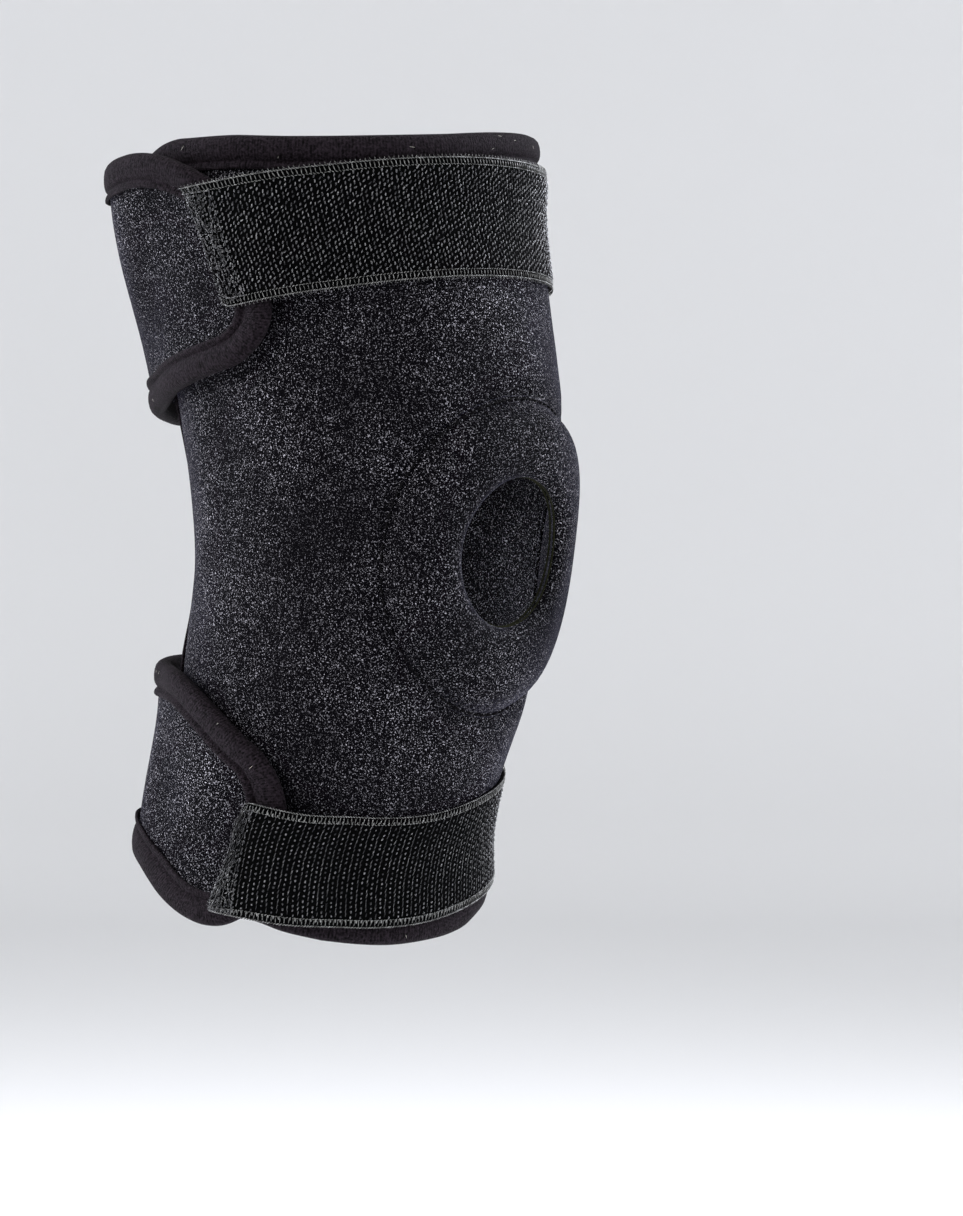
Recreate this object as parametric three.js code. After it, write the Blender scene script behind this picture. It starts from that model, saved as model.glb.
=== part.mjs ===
// Wrap knee sleeve with an open kneecap ring, in the bent form in which it is worn on a right knee.
// Millimetres. +Z up, the kneecap faces -Y, the outer side of the leg is at -X.
// The origin is the middle of the leg hollow, at the height of the kneecap's centre.
// Angles run around the leg in degrees: 0 at the kneecap, 90 on the inner side, 180 behind the knee,
// and on past 180 where the two wings come round and lie over the outer side of the front panel.

import * as THREE from "three";

// The leg hollow
const KNEE_WIDTH = 113;
const KNEE_DEPTH = 113;
const RISE = 142.5;
const DROP = 129.4;

// The padded cloth of the body
const WALL = 4;

// Clearances between sewn pieces and between layers that lie on each other
const SEAM_GAP = 0.4;
const LAYER_GAP = 0.7;

// The rolled edge binding
const BINDING_REACH = 8;
const BINDING_NOSE = 2.4;
const BINDING_ROLL = 2.2;
const BINDING_LIP = 1.3;
const BINDING_BACK = 0.9;

// The ring round the kneecap, measured on the cloth laid flat
const RING_WIDTH = 112;
const RING_LENGTH = 105;
const RING_ANGLE = 8;
const RING_THICKNESS = 8;
const OPENING_WIDTH = 51;
const OPENING_LENGTH = 49;
const OPENING_ANGLE = 4;
const OPENING_RAISE = 1.8;

// The front panel's outer edge, the cut-out behind the knee and the ends of the two wings, as angles
const PANEL_EDGE_ANGLE = -154;
const PANEL_EDGE_SLANT = 56;
const CUTOUT_ANGLE = 128;
const UPPER_WING_ANGLE = 290;
const LOWER_WING_ANGLE = 298;

// The straps and the hook tabs at their hidden ends
const UPPER_STRAP_WIDTH = 40;
const LOWER_STRAP_WIDTH = 37.5;
const STRAP_THICKNESS = 1.8;
const UPPER_STRAP_RISE = 111.4;
const LOWER_STRAP_DROP = 103.6;
const STRAP_END_ANGLE = 205;
const TAB_LENGTH = 42;
const TAB_THICKNESS = 1.4;
const TAB_MARGIN = 2;

// Lengths along the cloth turned into angles at the knee's own girth
const DEGREES_PER_MM = 180 / (Math.PI * (KNEE_WIDTH / 2 + WALL));

function table(columns, ...rows) {
  return rows.map((row) => Object.fromEntries(columns.map((name, i) => [name, row[i]])));
}

// A smooth curve through one column of a table, held level past its ends
function follow(rows, along, column, at) {
  const last = rows.length - 1;
  const x = THREE.MathUtils.clamp(at, rows[0][along], rows[last][along]);
  let i = 0;
  while (i < last - 1 && x > rows[i + 1][along]) i += 1;
  const slope = (k) => (rows[k + 1][column] - rows[k][column]) / (rows[k + 1][along] - rows[k][along]);
  const tangent = (k) => {
    if (k === 0) return slope(0);
    if (k === last) return slope(last - 1);
    return (slope(k - 1) + slope(k)) / 2;
  };
  const span = rows[i + 1][along] - rows[i][along];
  const t = (x - rows[i][along]) / span;
  return rows[i][column] * (1 + t * t * (2 * t - 3)) + rows[i + 1][column] * t * t * (3 - 2 * t)
    + span * (tangent(i) * t * (1 - t) * (1 - t) - tangent(i + 1) * t * t * (1 - t));
}

const smooth = THREE.MathUtils.smoothstep;

// How far a rounded corner has opened, from 0 at its tip to 1 where it has run out
function cornerShare(distance, length) {
  const left = 1 - THREE.MathUtils.clamp(distance / length, 0, 1);
  return Math.sqrt(1 - left * left);
}

// Sections of the leg hollow, level with the floor. Height is a share of the rise above the kneecap's
// centre or of the drop below it; lean and side are shares of the knee's width; setback, front and back
// are shares of its depth. A squareness of 2 is an ellipse.
const LEG = table(
  ["height", "lean", "setback", "side", "front", "back", "squareness"],
  [-1.08, -0.027, 0.262, 0.461, 0.443, 0.485, 2.1],
  [-0.90, -0.022, 0.240, 0.461, 0.443, 0.486, 2.1],
  [-0.74, -0.018, 0.212, 0.455, 0.436, 0.482, 2.1],
  [-0.58, -0.013, 0.166, 0.453, 0.434, 0.476, 2.1],
  [-0.43, -0.009, 0.112, 0.467, 0.452, 0.475, 2.15],
  [-0.27, -0.004, 0.084, 0.488, 0.488, 0.478, 2.2],
  [-0.12, 0.000, 0.053, 0.494, 0.514, 0.470, 2.25],
  [0.035, 0.000, 0.028, 0.499, 0.528, 0.468, 2.25],
  [0.18, -0.009, 0.025, 0.513, 0.544, 0.482, 2.25],
  [0.35, -0.022, 0.040, 0.525, 0.547, 0.498, 2.2],
  [0.54, -0.035, 0.072, 0.538, 0.550, 0.516, 2.15],
  [0.75, -0.053, 0.126, 0.562, 0.564, 0.548, 2.15],
  [0.97, -0.071, 0.172, 0.589, 0.584, 0.590, 2.15],
  [1.08, -0.080, 0.185, 0.597, 0.592, 0.598, 2.15],
);

// Soft creases pressed into the cloth: place, half length in degrees, half breadth and depth in
// shares of the wall, and how far the crease climbs over its half length
const CREASES = table(
  ["angle", "height", "reach", "breadth", "depth", "climb"],
  [-92, -0.085, 38, 1.9, 0.32, 0.045],
  [-62, 0.325, 24, 3.4, 0.20, 0.02],
);

// Heights of the finished top edge, as shares of the rise
const TOP_EDGE = table(
  ["angle", "height"],
  [-140, 0.971],
  [-88, 0.971],
  [-45, 0.964],
  [-15, 0.975],
  [8, 0.992],
  [26, 1.000],
  [70, 0.992],
  [120, 0.950],
  [180, 0.910],
  [236, 0.930],
  [256, 0.951],
  [300, 0.951],
);

// Heights of the cut-out's two edges, as shares of the rise above and of the drop below
const CUTOUT_UPPER_EDGE = table(
  ["angle", "height"],
  [128, 0.250],
  [165, 0.290],
  [223, 0.345],
  [252, 0.396],
  [300, 0.480],
);
const CUTOUT_LOWER_EDGE = table(
  ["angle", "height"],
  [128, -0.240],
  [190, -0.262],
  [225, -0.275],
  [246, -0.298],
  [280, -0.455],
  [300, -0.535],
);

// Heights of the finished bottom edge, as shares of the drop
const BOTTOM_EDGE = table(
  ["angle", "height"],
  [-140, -0.900],
  [-72, -0.945],
  [-50, -0.978],
  [-23, -1.000],
  [-7, -0.996],
  [15, -0.976],
  [31, -0.939],
  [60, -0.890],
  [100, -0.825],
  [150, -0.770],
  [190, -0.755],
  [225, -0.775],
  [244, -0.827],
  [264, -0.914],
  [277, -0.947],
  [300, -0.955],
);

// Heights of the straps' middle lines, as shares of each strap's own rise or drop in front
const UPPER_STRAP_LINE = table(
  ["angle", "height"],
  [-85, 0.914],
  [-50, 0.960],
  [-20, 0.990],
  [9, 1.000],
  [50, 0.980],
  [90, 0.931],
  [140, 0.866],
  [205, 0.838],
);
const LOWER_STRAP_LINE = table(
  ["angle", "height"],
  [-80, -0.939],
  [-60, -0.973],
  [-30, -1.000],
  [-8, -0.990],
  [12, -0.953],
  [40, -0.892],
  [90, -0.780],
  [150, -0.655],
  [205, -0.650],
);

// The wings ride up over the front panel's outer edge and binding, then settle onto the panel itself:
// where the ramp starts and ends and where the settling starts and ends, in degrees past that edge
const RIDE = {
  rampFrom: -3.7 * BINDING_REACH * DEGREES_PER_MM,
  rampTo: -(BINDING_NOSE + 1.5 * LAYER_GAP) * DEGREES_PER_MM,
  settleFrom: 1.2 * BINDING_REACH * DEGREES_PER_MM,
  settleTo: 2.7 * BINDING_REACH * DEGREES_PER_MM,
};
const FULL_LIFT = WALL + BINDING_ROLL + BINDING_BACK + 2 * LAYER_GAP;
const PANEL_LIFT = WALL + BINDING_BACK + 1.5 * LAYER_GAP;

function legSection(height) {
  const share = height > 0 ? height / RISE : height / DROP;
  const read = (column) => follow(LEG, "height", column, share);
  return {
    x: read("lean") * KNEE_WIDTH,
    y: read("setback") * KNEE_DEPTH,
    side: read("side") * KNEE_WIDTH,
    front: read("front") * KNEE_DEPTH,
    back: read("back") * KNEE_DEPTH,
    squareness: read("squareness"),
  };
}

function creaseDepth(angle, height) {
  let depth = 0;
  for (const crease of CREASES) {
    const run = (THREE.MathUtils.euclideanModulo(angle - crease.angle + 180, 360) - 180) / crease.reach;
    const middle = (crease.height + crease.climb * run) * RISE;
    const across = (height - middle) / (crease.breadth * WALL);
    depth += crease.depth * WALL * Math.exp(-across * across - run ** 4);
  }
  return depth;
}

function bareForm(angle, height) {
  const section = legSection(height);
  const turn = THREE.MathUtils.degToRad(angle);
  const depth = Math.cos(turn) > 0 ? section.front : section.back;
  const power = section.squareness;
  const sum = Math.abs(Math.sin(turn) / section.side) ** power + Math.abs(Math.cos(turn) / depth) ** power;
  const radius = sum ** (-1 / power) - creaseDepth(angle, height);
  return new THREE.Vector3(section.x + radius * Math.sin(turn), section.y - radius * Math.cos(turn), height);
}

// The frame of the hollow's surface at a place: point, steps per degree and per millimetre, normal
function formFrame(angle, height) {
  const step = 0.05;
  const around = bareForm(angle + step, height).sub(bareForm(angle - step, height)).divideScalar(2 * step);
  const up = bareForm(angle, height + step).sub(bareForm(angle, height - step)).divideScalar(2 * step);
  const normal = around.clone().cross(up).normalize();
  return { point: bareForm(angle, height), around, up, normal };
}

function onForm(angle, height, offset) {
  const frame = formFrame(angle, height);
  return frame.point.addScaledVector(frame.normal, offset);
}

const topEdge = (angle) => follow(TOP_EDGE, "angle", "height", angle) * RISE;
const bottomEdge = (angle) => follow(BOTTOM_EDGE, "angle", "height", angle) * DROP;

// The front panel's outer edge, which leans forward above and below the knee
function panelEdge(height) {
  const share = height > 0 ? height / RISE : -height / DROP;
  return PANEL_EDGE_ANGLE + PANEL_EDGE_SLANT * share * share;
}

// The cloth's inner face above the hollow; a wing's tip also climbs over the panel's edge bindings
function clothLift(angle, height) {
  const past = angle - 360 - panelEdge(height);
  const near = 1.2 * BINDING_REACH;
  const far = 2.6 * BINDING_REACH;
  const overTop = smooth(height, topEdge(angle - 360) - far, topEdge(angle - 360) - near);
  const overBottom = smooth(-height, -bottomEdge(angle - 360) - far, -bottomEdge(angle - 360) - near);
  const settled = THREE.MathUtils.lerp(PANEL_LIFT, FULL_LIFT, Math.max(overTop, overBottom));
  const full = THREE.MathUtils.lerp(FULL_LIFT, settled, smooth(past, RIDE.settleFrom, RIDE.settleTo));
  return full * smooth(past, RIDE.rampFrom, RIDE.rampTo);
}

// Angles between two ends, drawn together towards the start, the end or both
function spread(from, to, count, close) {
  const ease = {
    start: (t) => 1 - Math.cos((Math.PI * t) / 2),
    end: (t) => Math.sin((Math.PI * t) / 2),
    both: (t) => (1 - Math.cos(Math.PI * t)) / 2,
    none: (t) => t,
  }[close];
  return Array.from({ length: count + 1 }, (_, i) => from + (to - from) * ease(i / count));
}

// A sheet is a flat list of corners, each an angle and a height, and the triangles that share them
function newSheet() {
  return { corners: [], index: new Map(), faces: [] };
}

function addCorner(sheet, angle, height) {
  const key = `${angle.toFixed(4)},${height.toFixed(4)}`;
  if (!sheet.index.has(key)) {
    sheet.index.set(key, sheet.corners.length);
    sheet.corners.push({ angle, height });
  }
  return sheet.index.get(key);
}

function addFace(sheet, a, b, c) {
  if (a !== b && b !== c && c !== a) sheet.faces.push([a, b, c]);
}

function fillPanel(sheet, angles, low, high, rows, place) {
  const columns = angles.map((angle) => rows.map((share) => {
    const height = THREE.MathUtils.lerp(low(angle), high(angle), share);
    const at = place ? place(angle, height) : angle;
    return addCorner(sheet, at, height);
  }));
  for (let i = 0; i + 1 < columns.length; i += 1) {
    for (let j = 0; j + 1 < rows.length; j += 1) {
      const [a, b] = [columns[i][j], columns[i + 1][j]];
      const [c, d] = [columns[i + 1][j + 1], columns[i][j + 1]];
      addFace(sheet, a, b, c);
      addFace(sheet, a, c, d);
    }
  }
}

// The sheet's edges that only one triangle uses, joined into closed loops
function edgeLoops(sheet) {
  const once = new Map();
  for (const face of sheet.faces) {
    face.forEach((from, i) => {
      const to = face[(i + 1) % 3];
      if (once.has(`${to},${from}`)) once.delete(`${to},${from}`);
      else once.set(`${from},${to}`, [from, to]);
    });
  }
  const next = new Map(once.values());
  const loops = [];
  while (next.size > 0) {
    const loop = [next.keys().next().value];
    while (next.has(loop[loop.length - 1])) {
      const from = loop[loop.length - 1];
      loop.push(next.get(from));
      next.delete(from);
    }
    loop.pop();
    loops.push(loop);
  }
  return loops.sort((a, b) => b.length - a.length);
}

function toGeometry(points, triangles) {
  const geometry = new THREE.BufferGeometry();
  geometry.setAttribute("position", new THREE.Float32BufferAttribute(points.flatMap((p) => p.toArray()), 3));
  geometry.setIndex(triangles.flat());
  geometry.computeVertexNormals();
  return geometry;
}

// Joins equal closed sections, one after another round a closed line, into one body
function closedTube(points, count, size) {
  const triangles = [];
  for (let i = 0; i < count; i += 1) {
    for (let j = 0; j < size; j += 1) {
      const a = i * size + j;
      const b = i * size + ((j + 1) % size);
      const c = ((i + 1) % count) * size + ((j + 1) % size);
      const d = ((i + 1) % count) * size + j;
      triangles.push([a, b, c], [a, c, d]);
    }
  }
  return toGeometry(points, triangles);
}

// Gives a sheet its two faces and the walls along its edges
function thicken(sheet, innerOffset, thickness) {
  const count = sheet.corners.length;
  const frames = sheet.corners.map((corner) => formFrame(corner.angle, corner.height));
  const offsets = sheet.corners.map((corner) => innerOffset(corner.angle, corner.height));
  const inner = frames.map((frame, i) => frame.point.clone().addScaledVector(frame.normal, offsets[i]));
  const outer = frames.map((frame, i) => (
    frame.point.clone().addScaledVector(frame.normal, offsets[i] + thickness)));
  const triangles = [];
  for (const [a, b, c] of sheet.faces) {
    triangles.push([a + count, b + count, c + count], [a, c, b]);
  }
  for (const loop of edgeLoops(sheet)) {
    loop.forEach((from, i) => {
      const to = loop[(i + 1) % loop.length];
      triangles.push([from, to, to + count], [from, to + count, from + count]);
    });
  }
  return toGeometry([...inner, ...outer], triangles);
}

// Carries a closed section along a closed line of places. A section point is a step out of the edge
// and an offset from the cloth's inner face.
function carrySection(places, section) {
  const count = places.length;
  const points = [];
  places.forEach((place, i) => {
    const before = places[(i + count - 1) % count];
    const after = places[(i + 1) % count];
    const frame = formFrame(place.angle, place.height);
    const ahead = onForm(after.angle, after.height, 0).sub(frame.point).normalize();
    const behind = onForm(before.angle, before.height, 0).sub(frame.point).normalize();
    const out = ahead.sub(behind).cross(frame.normal).normalize();
    const perDegree = frame.around.length() ** 2;
    const perHeight = frame.up.length() ** 2;
    const mixed = frame.around.dot(frame.up);
    const det = perDegree * perHeight - mixed * mixed;
    const outAround = (out.dot(frame.around) * perHeight - out.dot(frame.up) * mixed) / det;
    const outUp = (out.dot(frame.up) * perDegree - out.dot(frame.around) * mixed) / det;
    for (const { step, offset } of section) {
      const angle = place.angle + outAround * step;
      const height = place.height + outUp * step;
      points.push(onForm(angle, height, clothLift(angle, height) + offset));
    }
  });
  return closedTube(points, count, section.length);
}

function namedMesh(name, geometry, color, roughness) {
  const mesh = new THREE.Mesh(geometry, new THREE.MeshStandardMaterial({ color, roughness, metalness: 0 }));
  mesh.name = name;
  return mesh;
}

// The ends of the cloth's outline: each has an angle, and for its rounded corners lengths in degrees
// along the edge and depths in millimetres across it
const PANEL_END = { angle: PANEL_EDGE_ANGLE, length: 16, depth: 12 };
const UPPER_WING_END = { angle: UPPER_WING_ANGLE, topLength: 34, topDepth: 30, lowLength: 17, lowDepth: 16 };
const LOWER_WING_END = { angle: LOWER_WING_ANGLE, topLength: 17, topDepth: 22, lowLength: 20, lowDepth: 22 };
const CUTOUT_LENGTH = 40;

function upperHigh(angle) {
  const nearPanel = 1 - cornerShare(angle - PANEL_END.angle, PANEL_END.length);
  const nearWing = 1 - cornerShare(UPPER_WING_END.angle - angle, UPPER_WING_END.topLength);
  return topEdge(angle) - BINDING_NOSE - nearPanel * PANEL_END.depth - nearWing * UPPER_WING_END.topDepth;
}

function upperLow(angle) {
  if (angle < CUTOUT_ANGLE) return 0;
  const edge = follow(CUTOUT_UPPER_EDGE, "angle", "height", angle) * RISE + BINDING_NOSE;
  const nearWing = 1 - cornerShare(UPPER_WING_END.angle - angle, UPPER_WING_END.lowLength);
  return (edge + nearWing * UPPER_WING_END.lowDepth) * cornerShare(angle - CUTOUT_ANGLE, CUTOUT_LENGTH);
}

function lowerHigh(angle) {
  if (angle < CUTOUT_ANGLE) return 0;
  const edge = follow(CUTOUT_LOWER_EDGE, "angle", "height", angle) * DROP - BINDING_NOSE;
  const nearWing = 1 - cornerShare(LOWER_WING_END.angle - angle, LOWER_WING_END.topLength);
  return (edge - nearWing * LOWER_WING_END.topDepth) * cornerShare(angle - CUTOUT_ANGLE, CUTOUT_LENGTH);
}

function lowerLow(angle) {
  const nearPanel = 1 - cornerShare(angle - PANEL_END.angle, PANEL_END.length);
  const nearWing = 1 - cornerShare(LOWER_WING_END.angle - angle, LOWER_WING_END.lowLength);
  return bottomEdge(angle) + BINDING_NOSE + nearPanel * PANEL_END.depth + nearWing * LOWER_WING_END.lowDepth;
}

const RING_HALF_ANGLE = (RING_WIDTH / 2) * DEGREES_PER_MM;
const RING_COLUMNS = 18;
const ringArc = (angle) => {
  const across = THREE.MathUtils.clamp((angle - RING_ANGLE) / RING_HALF_ANGLE, -1, 1);
  return (RING_LENGTH / 2) * Math.sqrt(1 - across * across);
};

function makeBody() {
  const sheet = newSheet();
  const rows = [0, 0.16, 0.32, 0.48, 0.64, 0.79, 0.91, 1];
  const ringStart = RING_ANGLE - RING_HALF_ANGLE;
  const ringEnd = RING_ANGLE + RING_HALF_ANGLE;
  // The columns beside the panel's outer edge lean with it
  const slanted = (angle, height) => {
    const lean = panelEdge(height) - PANEL_EDGE_ANGLE;
    return angle + lean * (1 - smooth(angle, PANEL_EDGE_ANGLE, ringStart));
  };
  const beside = spread(PANEL_EDGE_ANGLE, ringStart, 12, "start");
  const ring = spread(ringStart, ringEnd, RING_COLUMNS, "both");
  const inner = spread(ringEnd, CUTOUT_ANGLE, 7, "none");
  fillPanel(sheet, beside, upperLow, upperHigh, rows, slanted);
  fillPanel(sheet, ring, ringArc, upperHigh, rows, slanted);
  fillPanel(sheet, inner, upperLow, upperHigh, rows, slanted);
  fillPanel(sheet, beside, lowerLow, lowerHigh, rows, slanted);
  fillPanel(sheet, ring, lowerLow, (angle) => -ringArc(angle), rows, slanted);
  fillPanel(sheet, inner, lowerLow, lowerHigh, rows, slanted);
  const wing = (end) => [
    ...spread(CUTOUT_ANGLE, CUTOUT_ANGLE + CUTOUT_LENGTH, 6, "start"),
    ...spread(CUTOUT_ANGLE + CUTOUT_LENGTH, end - CUTOUT_LENGTH, 13, "none").slice(1),
    ...spread(end - CUTOUT_LENGTH, end, 9, "end").slice(1),
  ];
  fillPanel(sheet, wing(UPPER_WING_ANGLE), upperLow, upperHigh, rows);
  fillPanel(sheet, wing(LOWER_WING_ANGLE), lowerLow, lowerHigh, rows);
  return sheet;
}

// The binding's section: a rolled crown over the edge, a stitched groove, a small lip and a flat back
const BINDING_SECTION = [
  { step: -BINDING_REACH, offset: WALL + LAYER_GAP },
  { step: -0.9 * BINDING_REACH, offset: WALL + BINDING_LIP },
  { step: -0.64 * BINDING_REACH, offset: WALL + 0.65 * BINDING_LIP },
  { step: -0.36 * BINDING_REACH, offset: WALL + BINDING_ROLL },
  { step: 0.1 * BINDING_NOSE, offset: WALL + 0.85 * BINDING_ROLL },
  { step: BINDING_NOSE, offset: 0.6 * WALL },
  { step: 0.6 * BINDING_NOSE, offset: -0.6 * BINDING_BACK },
  { step: -0.5 * BINDING_REACH, offset: -BINDING_BACK - LAYER_GAP },
  { step: -0.5 * BINDING_REACH, offset: -LAYER_GAP },
  { step: SEAM_GAP, offset: -LAYER_GAP },
  { step: SEAM_GAP, offset: WALL + LAYER_GAP },
];

// The ring's section: a share of the way from its seam to the opening, and a share of its thickness
const RING_SECTION = table(
  ["inward", "offset"],
  [0, 0],
  [0, (0.75 * WALL) / RING_THICKNESS],
  [0.06, 0.66],
  [0.22, 0.93],
  [0.42, 1],
  [0.66, 0.97],
  [0.86, 0.82],
  [0.97, 0.58],
  [1, 0.3],
  [0.98, 0],
  [0.7, 0],
  [0.36, 0],
);

function makeRing() {
  const sides = 2 * RING_COLUMNS;
  const points = [];
  for (let i = 0; i < sides; i += 1) {
    const turn = (-2 * Math.PI * i) / sides;
    const seamAngle = RING_ANGLE + (RING_WIDTH / 2 - SEAM_GAP) * DEGREES_PER_MM * Math.cos(turn);
    const seamHeight = (RING_LENGTH / 2 - SEAM_GAP) * Math.sin(turn);
    const rimAngle = OPENING_ANGLE + (OPENING_WIDTH / 2) * DEGREES_PER_MM * Math.cos(turn);
    const rimHeight = OPENING_RAISE + (OPENING_LENGTH / 2) * Math.sin(turn);
    for (const { inward, offset } of RING_SECTION) {
      const angle = THREE.MathUtils.lerp(seamAngle, rimAngle, inward);
      const height = THREE.MathUtils.lerp(seamHeight, rimHeight, inward);
      points.push(onForm(angle, height, offset * RING_THICKNESS));
    }
  }
  return closedTube(points, sides, RING_SECTION.length);
}

// A strap starts on its wing near the wing's tip, drops off the tip onto the front panel, and goes
// round the inner side to end behind the knee on its hook tab
const UPPER_STRAP = {
  start: -83, slant: 4, wingAngle: UPPER_WING_ANGLE, line: UPPER_STRAP_LINE, level: UPPER_STRAP_RISE,
  width: UPPER_STRAP_WIDTH, bindingSide: 1,
};
const LOWER_STRAP = {
  start: -77, slant: -5, wingAngle: LOWER_WING_ANGLE, line: LOWER_STRAP_LINE, level: LOWER_STRAP_DROP,
  width: LOWER_STRAP_WIDTH, bindingSide: -1,
};
const TAB_START_ANGLE = STRAP_END_ANGLE - TAB_LENGTH * DEGREES_PER_MM;
// The stretch on the wing that is drawn finely, and the degrees over which a strap drops off the tip,
// climbs the tip's binding and climbs its tab
const STRAP_TIP_END = -30;
const STRAP_DROP = { from: (BINDING_NOSE + 2.5 * LAYER_GAP) * DEGREES_PER_MM, to: 24 };
const ROLL_CLIMB = { from: -2.4 * BINDING_REACH * DEGREES_PER_MM, to: -1.3 * BINDING_REACH * DEGREES_PER_MM };
const TAB_CLIMB = { from: -18, to: -6 };
// The shares of a strap's half width between which it climbs the binding beside it
const OVER_ROLL = { from: 0.1, to: 0.6 };
const OVER_LIP = { from: 0.45, to: 0.8 };

function strapMiddle(strap, angle) {
  return follow(strap.line, "angle", "height", angle) * strap.level;
}

function strapOffset(strap, angle, height) {
  const tip = strap.wingAngle - 360;
  const rest = WALL + LAYER_GAP;
  const across = (strap.bindingSide * (height - strapMiddle(strap, angle))) / (strap.width / 2);
  const onWing = 1 - smooth(angle, tip + STRAP_DROP.from, tip + STRAP_DROP.to);
  const onTipRoll = smooth(angle, tip + ROLL_CLIMB.from, tip + ROLL_CLIMB.to);
  const onRoll = Math.max(onTipRoll, smooth(across, OVER_ROLL.from, OVER_ROLL.to));
  const overWing = clothLift(angle + 360, height) + rest + BINDING_ROLL * onRoll;
  const overLip = rest + (BINDING_LIP + SEAM_GAP) * smooth(across, OVER_LIP.from, OVER_LIP.to);
  const onTab = smooth(angle, TAB_START_ANGLE + TAB_CLIMB.from, TAB_START_ANGLE + TAB_CLIMB.to);
  const overTab = clothLift(Math.max(angle, 0), height) + onTab * (TAB_THICKNESS + LAYER_GAP);
  return THREE.MathUtils.lerp(overLip, overWing, onWing) + overTab;
}

function makeStrap(strap) {
  const sheet = newSheet();
  const angles = [
    ...spread(strap.start, STRAP_TIP_END, 12, "none"),
    ...spread(STRAP_TIP_END, STRAP_END_ANGLE, 25, "none").slice(1),
  ];
  const low = (angle) => strapMiddle(strap, angle) - strap.width / 2;
  const high = (angle) => strapMiddle(strap, angle) + strap.width / 2;
  const lean = (angle, height) => {
    const share = (strapMiddle(strap, angle) - height) / strap.width;
    return angle + strap.slant * share * (1 - smooth(angle, strap.start, STRAP_TIP_END));
  };
  fillPanel(sheet, angles, low, high, [0, 0.1, 0.37, 0.63, 0.9, 1], lean);
  return thicken(sheet, (angle, height) => strapOffset(strap, angle, height), STRAP_THICKNESS);
}

function makeTab(strap) {
  const sheet = newSheet();
  const angles = spread(TAB_START_ANGLE, STRAP_END_ANGLE - TAB_MARGIN * DEGREES_PER_MM, 6, "none");
  const low = (angle) => strapMiddle(strap, angle) - strap.width / 2 + TAB_MARGIN;
  const high = (angle) => strapMiddle(strap, angle) + strap.width / 2 - TAB_MARGIN;
  fillPanel(sheet, angles, low, high, [0, 0.25, 0.5, 0.75, 1]);
  return thicken(sheet, (angle, height) => clothLift(angle, height) + WALL + LAYER_GAP, TAB_THICKNESS);
}

const bodySheet = makeBody();
const outline = edgeLoops(bodySheet)[0].map((i) => bodySheet.corners[i]);

const group = new THREE.Group();
group.add(namedMesh("body_wrap", thicken(bodySheet, clothLift, WALL), 0x2d2b30, 0.95));
group.add(namedMesh("patella_ring", makeRing(), 0x2b292e, 0.95));
group.add(namedMesh("edge_binding", carrySection(outline, BINDING_SECTION), 0x322c30, 0.85));
group.add(namedMesh("upper_strap", makeStrap(UPPER_STRAP), 0x161618, 0.7));
group.add(namedMesh("lower_strap", makeStrap(LOWER_STRAP), 0x161618, 0.7));
group.add(namedMesh("upper_hook_tab", makeTab(UPPER_STRAP), 0x1c1c1e, 0.6));
group.add(namedMesh("lower_hook_tab", makeTab(LOWER_STRAP), 0x1c1c1e, 0.6));

export default group;
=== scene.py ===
import math
import bmesh
import bpy
import numpy as np
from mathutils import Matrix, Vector
from mathutils.bvhtree import BVHTree


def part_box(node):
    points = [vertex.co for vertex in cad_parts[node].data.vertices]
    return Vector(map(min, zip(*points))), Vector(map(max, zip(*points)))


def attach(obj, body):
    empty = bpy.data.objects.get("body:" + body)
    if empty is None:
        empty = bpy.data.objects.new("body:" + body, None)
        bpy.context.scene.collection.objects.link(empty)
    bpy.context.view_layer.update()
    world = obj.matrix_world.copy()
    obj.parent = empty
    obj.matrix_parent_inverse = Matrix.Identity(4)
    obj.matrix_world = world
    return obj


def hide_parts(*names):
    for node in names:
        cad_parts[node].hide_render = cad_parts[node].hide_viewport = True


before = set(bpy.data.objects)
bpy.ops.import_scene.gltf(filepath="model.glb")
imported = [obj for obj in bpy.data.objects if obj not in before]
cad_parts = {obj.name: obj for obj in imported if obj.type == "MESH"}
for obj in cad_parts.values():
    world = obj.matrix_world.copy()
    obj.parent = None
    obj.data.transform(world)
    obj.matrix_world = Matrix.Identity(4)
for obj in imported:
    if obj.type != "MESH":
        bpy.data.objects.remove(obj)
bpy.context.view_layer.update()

# The view. The sleeve is seen level with its kneecap opening, from the front of its outer side, through a
# long lens. The opening lies a little above the picture's middle, and the hollow's axis left of it.
PICTURE = (963, 1216)
AXIS_PIXEL = (382, 557)
PIXELS_PER_METRE = 2950
VIEW_AZIMUTH = math.radians(-47)
VIEW_DISTANCE = 1.5
SENSOR = 36.0
to_camera = Vector((math.sin(VIEW_AZIMUTH), -math.cos(VIEW_AZIMUTH), 0))
to_right = Vector((math.cos(VIEW_AZIMUTH), math.sin(VIEW_AZIMUTH), 0))
to_top = Vector((0, 0, 1))
aim = to_right * (PICTURE[0] / 2 - AXIS_PIXEL[0]) / PIXELS_PER_METRE
aim -= to_top * (PICTURE[1] / 2 - AXIS_PIXEL[1]) / PIXELS_PER_METRE
bpy.ops.object.camera_add(location=to_camera * VIEW_DISTANCE)
camera = bpy.context.object
camera.rotation_euler = (aim - camera.location).to_track_quat("-Z", "Y").to_euler()
camera.data.sensor_width = SENSOR
camera.data.lens = SENSOR * PIXELS_PER_METRE * VIEW_DISTANCE / PICTURE[1]
camera.data.clip_end = 50
bpy.context.scene.camera = camera
bpy.context.scene.view_settings.view_transform = "Standard"

# The stage. A wide pale floor lies half a metre below the opening and sweeps up all round into a low
# wall, so that every side of the sleeve is seen against the same plain tone.
FLOOR_DROP = 0.5
FLOOR_RADIUS = 4.5
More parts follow.
